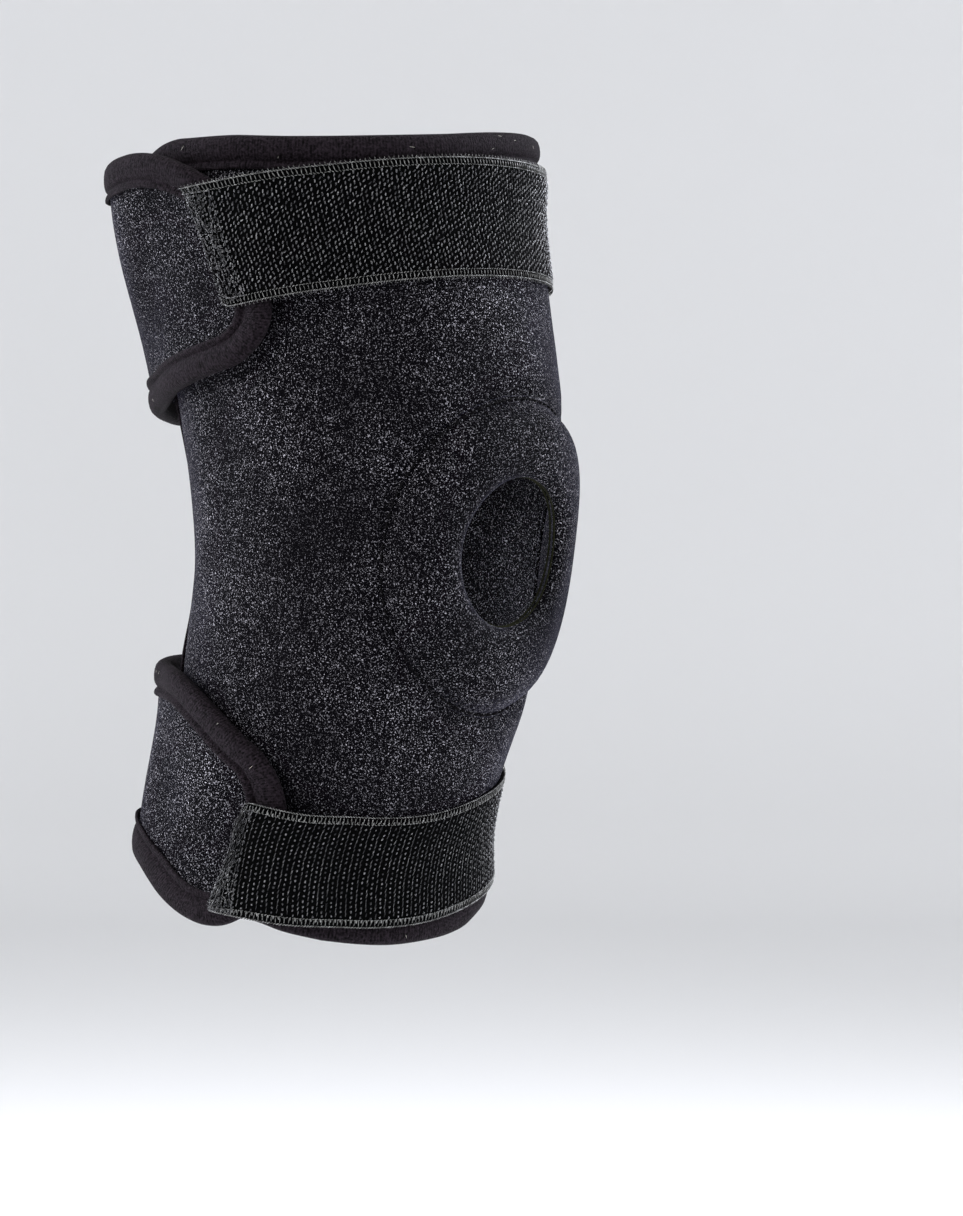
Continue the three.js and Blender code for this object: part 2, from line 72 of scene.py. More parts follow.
# The sweep's steps: how far each edge rises, and how many times as wide it gets
SWEEP_STEPS = ((0.12, 1.08), (0.45, 1.06), (0.9, 1.03), (1.13, 1.01))
bpy.ops.mesh.primitive_circle_add(vertices=96, radius=FLOOR_RADIUS, fill_type="NGON",
                                  location=(0, 0, -FLOOR_DROP))
floor = bpy.context.object
floor.name = "floor"
bpy.ops.object.mode_set(mode="EDIT")
bpy.ops.mesh.select_all(action="SELECT")
for rise, reach in SWEEP_STEPS:
    bpy.ops.mesh.extrude_edges_move(TRANSFORM_OT_translate={"value": (0, 0, rise)})
    bpy.ops.transform.resize(value=(reach, reach, 1))
bpy.ops.object.mode_set(mode="OBJECT")
bpy.ops.object.shade_smooth()
floor_paint = bpy.data.materials.new("floor_paint")
floor_paint.use_nodes = True
floor_shader = floor_paint.node_tree.nodes["Principled BSDF"]
floor_shader.inputs["Base Color"].default_value = (0.9, 0.9, 0.905, 1)
floor_shader.inputs["Roughness"].default_value = 0.9
floor.data.materials.append(floor_paint)

world = bpy.data.worlds.new("studio")
bpy.context.scene.world = world
world.use_nodes = True
world.node_tree.nodes["Background"].inputs["Color"].default_value = (0.95, 0.97, 1.0, 1)
world.node_tree.nodes["Background"].inputs["Strength"].default_value = 0.55


def softbox(name, place, size, power, tint):
    """A square soft light, at a place given in metres to the right, to the camera and up."""
    spot = to_right * place[0] + to_camera * place[1] + to_top * place[2]
    bpy.ops.object.light_add(type="AREA", location=spot)
    lamp = bpy.context.object
    lamp.name = name
    lamp.data.size = size
    lamp.data.energy = power
    lamp.data.color = tint
    lamp.rotation_euler = (-spot).to_track_quat("-Z", "Y").to_euler()


softbox("key_light", (-1.5, 1.0, 0.9), 1.0, 40, (1.0, 0.99, 0.98))
softbox("fill_light", (1.5, 0.7, 0.4), 1.1, 22, (0.97, 0.98, 1.0))
softbox("left_edge_light", (-1.5, -0.5, 0.5), 1.0, 52, (0.88, 0.91, 1.0))
softbox("right_edge_light", (1.4, -0.7, 0.8), 1.0, 52, (0.88, 0.91, 1.0))
softbox("top_light", (0.0, -0.2, 1.9), 1.4, 34, (1.0, 1.0, 1.0))


# The wrap. One sheet of foam-cored stretch cloth, 4 mm thick, whose outer face is a dense looped pile.
# It is cut flat, and takes its round form in wear. The binding closes its raw edge all round.
PILE_BLACK = (0.0014, 0.0012, 0.0018)
# The pale grey is a painted highlight: the glints of the loop tips, painted into the cloth's colour as pale
# specks
PAINTED_GLINT_GREY = (0.64, 0.62, 0.69)
PILE_SIZE = 0.00048
SHEEN_TINT = (0.64, 0.62, 1.0)


def copy_of(node, name):
    """A copy of a CAD solid, with its loose triangles merged, as a piece of its own."""
    piece = bpy.data.objects.new(name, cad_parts[node].data.copy())
    bpy.context.scene.collection.objects.link(piece)
    piece.data.materials.clear()
    bpy.ops.object.select_all(action="DESELECT")
    bpy.context.view_layer.objects.active = piece
    piece.select_set(True)
    if piece.data.has_custom_normals:
        bpy.ops.mesh.customdata_custom_splitnormals_clear()
    bpy.ops.object.mode_set(mode="EDIT")
    bpy.ops.mesh.select_all(action="SELECT")
    bpy.ops.mesh.remove_doubles(threshold=2e-6)
    bpy.ops.object.mode_set(mode="OBJECT")
    return piece


def smooth_over(piece, levels):
    """Turns a faceted copy into the smooth form that runs between its corners."""
    bpy.ops.object.select_all(action="DESELECT")
    bpy.context.view_layer.objects.active = piece
    piece.select_set(True)
    finer = piece.modifiers.new("finer", "SUBSURF")
    finer.levels = levels
    finer.render_levels = levels
    bpy.ops.object.modifier_apply(modifier=finer.name)
    bpy.ops.object.shade_smooth()


def quads_of(piece, face_angle=60, shape_angle=70):
    """Joins the triangles of a copy back into the even four-sided faces that they were split from."""
    bpy.ops.object.mode_set(mode="EDIT")
    bpy.ops.mesh.select_all(action="SELECT")
    bpy.ops.mesh.tris_convert_to_quads(face_threshold=math.radians(face_angle),
                                       shape_threshold=math.radians(shape_angle))
    bpy.ops.object.mode_set(mode="OBJECT")


def fasten(piece, slot, material, *nodes):
    """Gives a finished piece its material, and puts it in place of the CAD nodes that it stands for."""
    piece.data.materials.append(material)
    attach(piece, "root")
    if nodes:
        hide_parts(*nodes)


def new_material(name):
    """An empty node material, its shader and a function that adds a node with its values set."""
    material = bpy.data.materials.new(name)
    material.use_nodes = True
    tree = material.node_tree
    shader = tree.nodes["Principled BSDF"]

    def add(kind, **values):
        node = tree.nodes.new(kind)
        for key, value in values.items():
            if key in node.inputs:
                node.inputs[key].default_value = value
            else:
                setattr(node, key, value)
        return node

    return material, tree, shader, add


def pile_cloth():
    """Looped pile: charcoal loops with pale glints painted into their colour as painted highlights, and a soft
    bluish bloom where it turns away.
    """
    material, tree, shader, add = new_material("pile_cloth")
    link = tree.links.new
    place = add("ShaderNodeTexCoord")
    loops = add("ShaderNodeTexVoronoi", Scale=1 / PILE_SIZE)
    fibres = add("ShaderNodeTexNoise", Scale=0.9 / PILE_SIZE, Detail=3, Roughness=0.7)
    patches = add("ShaderNodeTexNoise", Scale=24, Detail=5, Roughness=0.62)
    folds = add("ShaderNodeTexNoise", Scale=22, Detail=1)
    for texture in (loops, fibres, patches, folds):
        link(place.outputs["Object"], texture.inputs["Vector"])
    # Pale specks painted into the base colour are painted highlights for the loop tips' glints. The patches
    # make them denser in some places than others, and the same share raises the specular.
    painted_glints = add("ShaderNodeMapRange", **{"From Min": 0.575, "From Max": 0.74})
    link(fibres.outputs["Fac"], painted_glints.inputs["Value"])
    painted_glint_density = add("ShaderNodeMapRange", **{"From Min": 0.3, "From Max": 0.7, "To Min": 0.12, "To Max": 1.0})
    link(patches.outputs["Fac"], painted_glint_density.inputs["Value"])
    share = add("ShaderNodeMath", operation="MULTIPLY")
    link(painted_glints.outputs["Result"], share.inputs[0])
    link(painted_glint_density.outputs["Result"], share.inputs[1])
    colour = add("ShaderNodeMix", data_type="RGBA")
    colour.inputs["A"].default_value = (*PILE_BLACK, 1)
    colour.inputs["B"].default_value = (*PAINTED_GLINT_GREY, 1)
    link(share.outputs["Value"], colour.inputs["Factor"])
    link(colour.outputs["Result"], shader.inputs["Base Color"])
    height = add("ShaderNodeMath", operation="SUBTRACT")
    link(fibres.outputs["Fac"], height.inputs[0])
    link(loops.outputs["Distance"], height.inputs[1])
    bump = add("ShaderNodeBump", Strength=0.55, Distance=PILE_SIZE * 0.8)
    link(height.outputs["Value"], bump.inputs["Height"])
    swell = add("ShaderNodeBump", Strength=0.9, Distance=0.009)
    link(folds.outputs["Fac"], swell.inputs["Height"])
    link(swell.outputs["Normal"], bump.inputs["Normal"])
    link(bump.outputs["Normal"], shader.inputs["Normal"])
    gloss = add("ShaderNodeMath", operation="MULTIPLY_ADD")
    gloss.inputs[1].default_value = 0.35
    gloss.inputs[2].default_value = 0.006
    link(share.outputs["Value"], gloss.inputs[0])
    link(gloss.outputs["Value"], shader.inputs["Specular IOR Level"])
    shader.inputs["Roughness"].default_value = 0.6
    shader.inputs["Sheen Weight"].default_value = 0.075
    shader.inputs["Sheen Roughness"].default_value = 0.2
    shader.inputs["Sheen Tint"].default_value = (*SHEEN_TINT, 1)
    return material


cloth_finish = pile_cloth()
body = copy_of("body_wrap", "wrap_cloth")
quads_of(body, face_angle=50, shape_angle=60)
smooth_over(body, 2)
fasten(body, "pile_cloth", cloth_finish, "body_wrap")

# The kneecap ring. A thick oval ring of foam under the same pile cloth, domed in front and sewn into the
# front panel, so that a deep seam runs round it and the cloth rolls in over the edge of the opening.
# Its section as it was built, in mm: steps in from the seam, and heights off the hollow
RING_SECTION = [(0, 0), (0, 3), (1.8, 5.3), (6.6, 7.4), (12.6, 8), (19.8, 7.8), (25.8, 6.6),
                (29.1, 4.6), (30, 2.4), (29.4, 0), (21, 0), (10.8, 0)]
SEAM_STEP = 0.0012
SEAM_HEIGHT = 0.0035
SEAM_DEPTH = 0.0022
SEAM_REACH = 0.0062
PUCKER_PITCH = 0.0036
LEAST_PRESS = 1e-5


def rounds_of(piece, around):
    """The corners of a closed tube, a row for each section in order, found by walking on its mesh."""
    mesh = bmesh.new()
    mesh.from_mesh(piece.data)
    mesh.verts.ensure_lookup_table()

    def line_from(corner, edge, most):
        line = [corner]
        corner = edge.other_vert(corner)
        while corner != line[0] and len(line) <= most:
            line.append(corner)
            face = edge.link_faces[0]
            for _ in range(3):
                edge = next(e for e in face.edges if e != edge and corner in e.verts)
                face = next(f for f in edge.link_faces if f != face)
            corner = edge.other_vert(corner)
        return line

    count = len(mesh.verts) // around
    first = mesh.verts[0]
    lines = [line_from(first, edge, count) for edge in first.link_edges]
    lines = [line for line in lines if len(line) == count]

    def length_of(line):
        return sum((a.co - b.co).length for a, b in zip(line, line[1:]))

    rows = []
    for corner in min(lines, key=length_of):
        sections = [line_from(corner, edge, around) for edge in corner.link_edges]
        sections = [line for line in sections if len(line) == around]
        section = min(sections, key=lambda line: (line[1].co - rows[-1][1]).length if rows else 0)
        rows.append([vert.co.copy() for vert in section])
    mesh.free()
    return np.array([[list(co) for co in row] for row in rows])


def matched(rows, section):
    """Turns each row so that its corners come in the order of a known section of (step, offset)."""
    shape = np.array(section)
    sides = np.linalg.norm(np.roll(shape, -1, 0) - shape, axis=1)
    tries = []
    for flipped in (rows, rows[:, ::-1]):
        for turn in range(len(section)):
            turned = np.roll(flipped, -turn, 1)
            made = np.linalg.norm(np.roll(turned, -1, 1) - turned, axis=2).mean(0)
            tries.append((np.abs(made - sides * made.sum() / sides.sum()).sum(), turned))
    return min(tries, key=lambda item: item[0])[1]


def even_line(points, step):
    """A closed line of points carried smoothly to even steps: each new place as a row and a share."""
    lengths = np.linalg.norm(np.roll(points, -1, 0) - points, axis=1)
    ends = np.concatenate([[0], np.cumsum(lengths)])
    count = round(ends[-1] / step)
    places = np.arange(count) * ends[-1] / count
    row = np.clip(np.searchsorted(ends, places, side="right") - 1, 0, len(points) - 1)
    return row, (places - ends[row]) / lengths[row], places


def carried(values, row, share):
    """Values on a closed line of rows, read between the rows on a smooth curve."""
    count = len(values)
    a, b, c, d = (values[(row + k) % count] for k in (-1, 0, 1, 2))
    t = share.reshape((-1,) + (1,) * (values.ndim - 1))
    return b + 0.5 * t * (c - a + t * (2 * a - 5 * b + 4 * c - d + t * (3 * (b - c) + d - a)))


def tube_mesh(name, points, along):
    """A closed tube through even sections, with its lengths in metres as its UV map."""
    count, around = points.shape[:2]
    mesh = bpy.data.meshes.new(name)
    i, j = np.meshgrid(np.arange(count), np.arange(around), indexing="ij")
    near, far = i * around, ((i + 1) % count) * around
    faces = np.stack([near + j, far + j, far + (j + 1) % around, near + (j + 1) % around], -1)
    mesh.from_pydata(points.reshape(-1, 3).tolist(), [], faces.reshape(-1, 4).tolist())
    girth = np.linalg.norm(np.roll(points, -1, 1) - points, axis=2).mean(0)
    girth = np.concatenate([[0], np.cumsum(girth)])
    ends = np.append(along, 2 * along[-1] - along[-2])
    u = np.stack([ends[i], ends[i + 1], ends[i + 1], ends[i]], -1).reshape(-1)
    v = np.stack([girth[j], girth[j], girth[j + 1], girth[j + 1]], -1).reshape(-1)
    layer = mesh.uv_layers.new(name="lengths")
    layer.data.foreach_set("uv", np.stack([u, v], -1).reshape(-1).astype(np.float32))
    mesh.shade_smooth()
    piece = bpy.data.objects.new(name, mesh)
    bpy.context.scene.collection.objects.link(piece)
    return piece


def facing_out(piece):
    """Recalculates a closed piece's normals so that they point out."""
    bpy.ops.object.select_all(action="DESELECT")
    bpy.context.view_layer.objects.active = piece
    piece.select_set(True)
    bpy.ops.object.mode_set(mode="EDIT")
    bpy.ops.mesh.select_all(action="SELECT")
    bpy.ops.mesh.normals_make_consistent(inside=False)
    bpy.ops.object.mode_set(mode="OBJECT")


def beads(name, centre, along, across, out, sizes):
    """Many small smooth beads as one mesh: each has a centre, three directions and three half sizes."""
    sides = 5
    turns = 2 * np.pi * np.arange(sides) / sides
    # Each bead is a tip, three rounds of corners as (place along, share of the half width), and a tip
    shape = [(-1, 0, 0)]
    for x, r in ((-0.62, 0.78), (0.0, 1.0), (0.62, 0.78)):
        shape += [(x, r * np.cos(t), r * np.sin(t)) for t in turns]
    shape += [(1, 0, 0)]
    shape = np.array(shape)
    pairs = [(k, (k + 1) % sides) for k in range(sides)]
    first, middle, last, tip = 1, 1 + sides, 1 + 2 * sides, 1 + 3 * sides
    faces = [(0, first + b, first + a) for a, b in pairs]
    for near, far in ((first, middle), (middle, last)):
        faces += [(near + a, near + b, far + b) for a, b in pairs]
        faces += [(near + a, far + b, far + a) for a, b in pairs]
    faces += [(last + a, last + b, tip) for a, b in pairs]
    faces = np.array(faces)
    axes = np.stack([along, across, out], 1) * sizes[:, :, None]
    points = centre[:, None, :] + np.einsum("pk,nkc->npc", shape, axes)
    corners = (faces[None] + (len(shape) * np.arange(len(centre)))[:, None, None]).reshape(-1, 3)
    mesh = bpy.data.meshes.new(name)
    mesh.vertices.add(points.size // 3)
    mesh.vertices.foreach_set("co", points.reshape(-1).astype(np.float32))
    mesh.loops.add(corners.size)
    mesh.loops.foreach_set("vertex_index", corners.reshape(-1).astype(np.int32))
    mesh.polygons.add(len(corners))
    mesh.polygons.foreach_set("loop_start", np.arange(0, corners.size, 3, dtype=np.int32))
    mesh.update(calc_edges=True)
    mesh.validate()
    mesh.shade_smooth()
    piece = bpy.data.objects.new(name, mesh)
    bpy.context.scene.collection.objects.link(piece)
    return piece


def unit(vectors):
    """The same directions at a length of one."""
    return vectors / np.linalg.norm(vectors, axis=-1, keepdims=True)


ring = copy_of("patella_ring", "kneecap_ring")
ring_rows = matched(rounds_of(ring, len(RING_SECTION)), RING_SECTION)
quads_of(ring)
smooth_over(ring, 3)


def press_of(piece, line, depth, reach):
    """A piece's corners, their normals, and how deep the stitching along a line presses each of them."""
    count = len(piece.data.vertices)
    places = np.empty(count * 3, np.float32)
    normals = np.empty(count * 3, np.float32)
    piece.data.vertices.foreach_get("co", places)
    piece.data.vertex_normals.foreach_get("vector", normals)
    places, normals = places.reshape(-1, 3), normals.reshape(-1, 3)
    gap = np.empty(count)
    batch = 4000
    for start in range(0, count, batch):
        steps = places[start:start + batch, None, :] - line[None, :, :]
        gap[start:start + batch] = np.sqrt((steps ** 2).sum(-1)).min(1)
    return places, normals, depth * np.exp(-(gap / reach) ** 2)


row, share, seam_places = even_line(ring_rows[:, 1], SEAM_STEP)
seam_low = carried(ring_rows[:, 0], row, share)
seam_high = carried(ring_rows[:, 1], row, share)
seam_out = unit(seam_high - seam_low)
seam_line = seam_low + seam_out * SEAM_HEIGHT
for piece in (body, ring):
    places, normals, depth = press_of(piece, seam_line, SEAM_DEPTH, SEAM_REACH)
    pressed = depth > LEAST_PRESS
    closest = np.array([((seam_line - place) ** 2).sum(-1).argmin() for place in places[pressed]])
    outward = seam_out[closest]
    # Only the outer face sinks, and it sinks deepest under each stitch
    facing = np.clip((normals[pressed] * outward).sum(-1) + 0.25, 0, 1)
    facing *= 0.85 + 0.15 * np.cos(2 * np.pi * seam_places[closest] / PUCKER_PITCH)
    places[pressed] -= outward * (depth[pressed] * facing)[:, None]
    piece.data.vertices.foreach_set("co", places.reshape(-1).astype(np.float32))
    piece.data.update()
fasten(ring, "pile_cloth", cloth_finish, "patella_ring")

# The ring's seam. A narrow tape of the same pile cloth closes the gap behind the stitching, and a row of
# black stitches, one to each pucker of the cloth, lies in the groove.
TAPE_HEIGHT = 0.0009
TAPE_REACH = 0.0011
TAPE_FLATNESS = 1.3
STITCH_HEIGHT = 0.0021
STITCH_SIZE = (0.0014, 0.00042, 0.00042)
SEAM_BLACK = (0.003, 0.0028, 0.0032)


def round_points(line, side, up, reach, flatness=1.0):
    """Eight points round each place on a line, at a reach that may differ from place to place."""
    turns = 2 * np.pi * np.arange(8) / 8
    across = np.cos(turns)[None, :, None] * side[:, None] * flatness
    return line[:, None] + np.reshape(reach, (-1, 1, 1)) * (across + np.sin(turns)[None, :, None] * up[:, None])


def plain_finish(name, colour, roughness, specular=0.5):
    """A material of one even colour."""
    material, _, shader, _ = new_material(name)
    shader.inputs["Base Color"].default_value = (*colour, 1)
    shader.inputs["Roughness"].default_value = roughness
    shader.inputs["Specular IOR Level"].default_value = specular
    return material


seam_along = unit(np.roll(seam_line, -1, 0) - np.roll(seam_line, 1, 0))
seam_side = np.cross(seam_along, seam_out)
seam_points = round_points(seam_low + seam_out * TAPE_HEIGHT, seam_side, seam_out, TAPE_REACH, TAPE_FLATNESS)
seam = tube_mesh("kneecap_seam_tape", seam_points, seam_places)
facing_out(seam)
fasten(seam, "pile_cloth", cloth_finish)
stitched = slice(None, None, round(PUCKER_PITCH / SEAM_STEP))
stitch_sizes = np.tile(STITCH_SIZE, (len(seam_low[stitched]), 1))
stitching = beads("kneecap_seam_stitching", (seam_low + seam_out * STITCH_HEIGHT)[stitched],
                  seam_along[stitched], seam_side[stitched], seam_out[stitched], stitch_sizes)
fasten(stitching, "pile_cloth", plain_finish("seam_thread", SEAM_BLACK, 0.9, 0.02))

# The overlocking. Inside the opening the ring's cover is closed by two fine ridges of olive-grey thread,
# which swell a little at each turn of the thread.
OLIVE_BLACK = (0.011, 0.0115, 0.0065)
OVERLOCK_STEP = 0.0006
OVERLOCK_REACH = 0.00036
OVERLOCK_TURN = 0.0018
row, share, places = even_line(ring_rows[:, 8], OVERLOCK_STEP)
upper_wall, lower_wall = (carried(ring_rows[:, k], row, share) for k in (8, 9))
# Each ridge's height on the opening's wall, as a share of it
for name, rise in (("opening_overlock", 0.55), ("opening_overlock_foot", -0.1)):
    ridge = upper_wall * rise + lower_wall * (1 - rise)
    ridge_along = unit(np.roll(ridge, -1, 0) - np.roll(ridge, 1, 0))
    ridge_up = unit(upper_wall - lower_wall)
    ridge_side = np.cross(ridge_along, ridge_up)
    girth = OVERLOCK_REACH * (1 + 0.35 * np.cos(2 * np.pi * places / OVERLOCK_TURN))
    overlock = tube_mesh(name, round_points(ridge, ridge_side, ridge_up, girth), places)
    facing_out(overlock)
    fasten(overlock, "pile_cloth", plain_finish(name, OLIVE_BLACK, 0.95, 0.02))

# The edge binding. A strip of fine ribbed knit, folded over the wrap's raw edge, stitched down along a
# groove beside the fat roll, with a narrow lip left free on the cloth.
BINDING_BLACK = (0.0032, 0.0024, 0.0031)
RIB_PITCH = 0.0005
BINDING_STEP = 0.0016
# The binding's section as it was built, in mm: steps out from the cloth's edge, and offsets from its inner
# face. Four of its corners lie on the folded cloth's own edge, and the finished section is set out from them.
BUILT_SECTION = [(-8, 4.7), (-7.2, 5.3), (-5.1, 4.85), (-2.9, 6.2), (0.24, 5.9), (2.4, 2.4), (1.44, -0.54),
                 (-4, -1.6), (-4, -0.7), (0.4, -0.7), (0.4, 4.7)]
IN_HIGH, IN_LOW, FOOT, TOP = 0, 8, 9, 10
# The finished one, in the same measures: the lip, the stitched groove, the fat roll and the flat back
SEWN_SECTION = [(-9.2, 4.0), (-9.25, 4.6), (-8.9, 5.05), (-8.3, 5.15), (-7.65, 4.95), (-7.15, 4.5),
                (-6.85, 4.25), (-6.6, 4.12), (-6.35, 4.3), (-6.0, 4.65), (-5.3, 5.15), (-4.2, 5.5),
                (-2.8, 5.65), (-1.3, 5.55), (0.1, 5.2), (1.0, 4.5), (1.55, 3.5), (1.7, 2.4), (1.5, 1.2),
                (0.9, 0.2), (-0.2, -0.5), (-1.6, -0.9), (-3.8, -1.0), (-4.1, -0.8), (-3.8, -0.5),
                (-1.5, -0.35), (0.35, -0.3), (0.35, 2.0), (0.3, 4.2), (-3.0, 4.05), (-6.2, 3.6)]


def ribbed_knit():
    """Fine ribs that run across the strip, slightly uneven, on a matt brownish black."""
    material, tree, shader, add = new_material("ribbed_knit")
    link = tree.links.new
    place = add("ShaderNodeTexCoord")
    lengths = add("ShaderNodeUVMap", uv_map="lengths")
    ribs = add("ShaderNodeTexWave", Scale=1 / RIB_PITCH / 20 * math.pi, Distortion=0.6, **{"Detail Scale": 2.0})
    link(lengths.outputs["UV"], ribs.inputs["Vector"])
    grain = add("ShaderNodeTexNoise", Scale=1050, Detail=3, Roughness=0.7)
    link(place.outputs["Object"], grain.inputs["Vector"])
    mottle = add("ShaderNodeMapRange", **{"From Min": 0.4, "From Max": 0.66})
    link(grain.outputs["Fac"], mottle.inputs["Value"])
    both = add("ShaderNodeMath", operation="MULTIPLY_ADD")
    both.inputs[1].default_value = 0.3
    link(ribs.outputs["Fac"], both.inputs[0])
    link(mottle.outputs["Result"], both.inputs[2])
    colour = add("ShaderNodeMix", data_type="RGBA")
    colour.inputs["A"].default_value = (*[0.05 * c for c in BINDING_BLACK], 1)
    colour.inputs["B"].default_value = (*[4.2 * c for c in BINDING_BLACK], 1)
    link(both.outputs["Value"], colour.inputs["Factor"])
    link(colour.outputs["Result"], shader.inputs["Base Color"])
    bump = add("ShaderNodeBump", Strength=0.7, Distance=0.0004)
    link(both.outputs["Value"], bump.inputs["Height"])
    link(bump.outputs["Normal"], shader.inputs["Normal"])
    shader.inputs["Roughness"].default_value = 0.7
    shader.inputs["Specular IOR Level"].default_value = 0.02
    shader.inputs["Sheen Weight"].default_value = 0.007
    shader.inputs["Sheen Roughness"].default_value = 0.4
    return material


built = copy_of("edge_binding", "binding_as_built")
rows = matched(rounds_of(built, len(BUILT_SECTION)), BUILT_SECTION)
bpy.data.objects.remove(built)
row, share, places = even_line(rows[:, FOOT], BINDING_STEP)
foot, in_low, in_high, top = (carried(rows[:, k], row, share) for k in (FOOT, IN_LOW, IN_HIGH, TOP))
foot_step, foot_offset = BUILT_SECTION[FOOT]
edge_height = BUILT_SECTION[TOP][1] - foot_offset
# One millimetre's step along the cloth's inner and outer face, and one millimetre's rise between them
step_low = (in_low - foot) / (BUILT_SECTION[IN_LOW][0] - foot_step)
step_high = (in_high - top) / (BUILT_SECTION[IN_HIGH][0] - foot_step)
rise = (top - foot) / edge_height
step, offset = np.array(SEWN_SECTION).T
offset = offset - foot_offset
level = offset / edge_height
lean = step_low[:, None] * (1 - level)[None, :, None] + step_high[:, None] * level[None, :, None]
points = foot[:, None] + rise[:, None] * offset[None, :, None] + lean * (step - foot_step)[None, :, None]
binding = tube_mesh("rolled_binding", points, places)
facing_out(binding)
fasten(binding, "binding_knit", ribbed_knit(), "edge_binding")

# The lint. A few short, pale, very fine fibres have caught on the binding's roll in wear, and lie flat on it
# at any angle.
LINT_GREY = (0.30, 0.29, 0.26)
LINT_COUNT = 70
chance = np.random.default_rng(3)
caught = chance.integers(0, len(points), LINT_COUNT)
spots = chance.integers(10, 15, LINT_COUNT)
lint_along = unit(points[(caught + 1) % len(points), spots] - points[caught, spots])
lint_across = unit(points[caught, spots + 1] - points[caught, spots])
lint_out = np.cross(lint_along, lint_across)
lint_turn = chance.uniform(0, math.pi, LINT_COUNT)[:, None]
lint_way = lint_along * np.cos(lint_turn) + lint_across * np.sin(lint_turn)
half_length = chance.uniform(0.0004, 0.0011, LINT_COUNT)
half_width = np.full(LINT_COUNT, 0.00007)
lint = beads("binding_lint", points[caught, spots], lint_way, np.cross(lint_out, lint_way), lint_out,
             np.stack([half_length, half_width, half_width], 1))
fasten(lint, "binding_knit", plain_finish("lint", LINT_GREY, 0.9))

# The straps. Two knitted tapes, 40 and 37.5 mm wide, faced with rows of small slick loops and edged with a
# corded selvedge. Each is box-stitched to its wing's tip, where its loops are crushed to loose fibres.
STRAP_BLACK = (0.0007, 0.0007, 0.0008)
LOOP_GREY = (0.018, 0.018, 0.0198)
CORD_GREY = (0.057, 0.057, 0.055)
LOOP_PITCH = 0.00172
LOOP_SINK = 0.0006
SELVEDGE_WIDTH = 0.0031
TAPE_THICKNESS = 0.0011
TAPE_STEP = 0.002
STITCHED_LENGTH = 0.0115
STITCH_PITCH = 0.0024


def matt_knit(name):
    """Tight matt black knit, for the tape's ground."""
    material, tree, shader, add = new_material(name)
    link = tree.links.new
    place = add("ShaderNodeTexCoord")
    grain = add("ShaderNodeTexNoise", Scale=900, Detail=2)
    link(place.outputs["Object"], grain.inputs["Vector"])
    bump = add("ShaderNodeBump", Strength=0.5, Distance=0.0003)
    link(grain.outputs["Fac"], bump.inputs["Height"])
    link(bump.outputs["Normal"], shader.inputs["Normal"])
    shader.inputs["Base Color"].default_value = (*STRAP_BLACK, 1)
    shader.inputs["Roughness"].default_value = 0.75
    shader.inputs["Specular IOR Level"].default_value = 0.01
    return material


def slick_yarn(name, grey):
    """Smooth synthetic yarn, whose tone shifts a little from loop to loop."""
    material, tree, shader, add = new_material(name)
    link = tree.links.new
    place = add("ShaderNodeTexCoord")
    tone = add("ShaderNodeTexNoise", Scale=620, Detail=2)
    link(place.outputs["Object"], tone.inputs["Vector"])
    colour = add("ShaderNodeMix", data_type="RGBA")
    colour.inputs["A"].default_value = (*[0.25 * c for c in grey], 1)
    colour.inputs["B"].default_value = (*[1.9 * c for c in grey], 1)
    link(tone.outputs["Fac"], colour.inputs["Factor"])
    link(colour.outputs["Result"], shader.inputs["Base Color"])
    gloss = add("ShaderNodeMapRange", **{"From Min": 0.38, "From Max": 0.66, "To Min": 0.06, "To Max": 1.0})
    link(tone.outputs["Fac"], gloss.inputs["Value"])
    link(gloss.outputs["Result"], shader.inputs["Specular IOR Level"])
    shader.inputs["Roughness"].default_value = 0.22
    return material


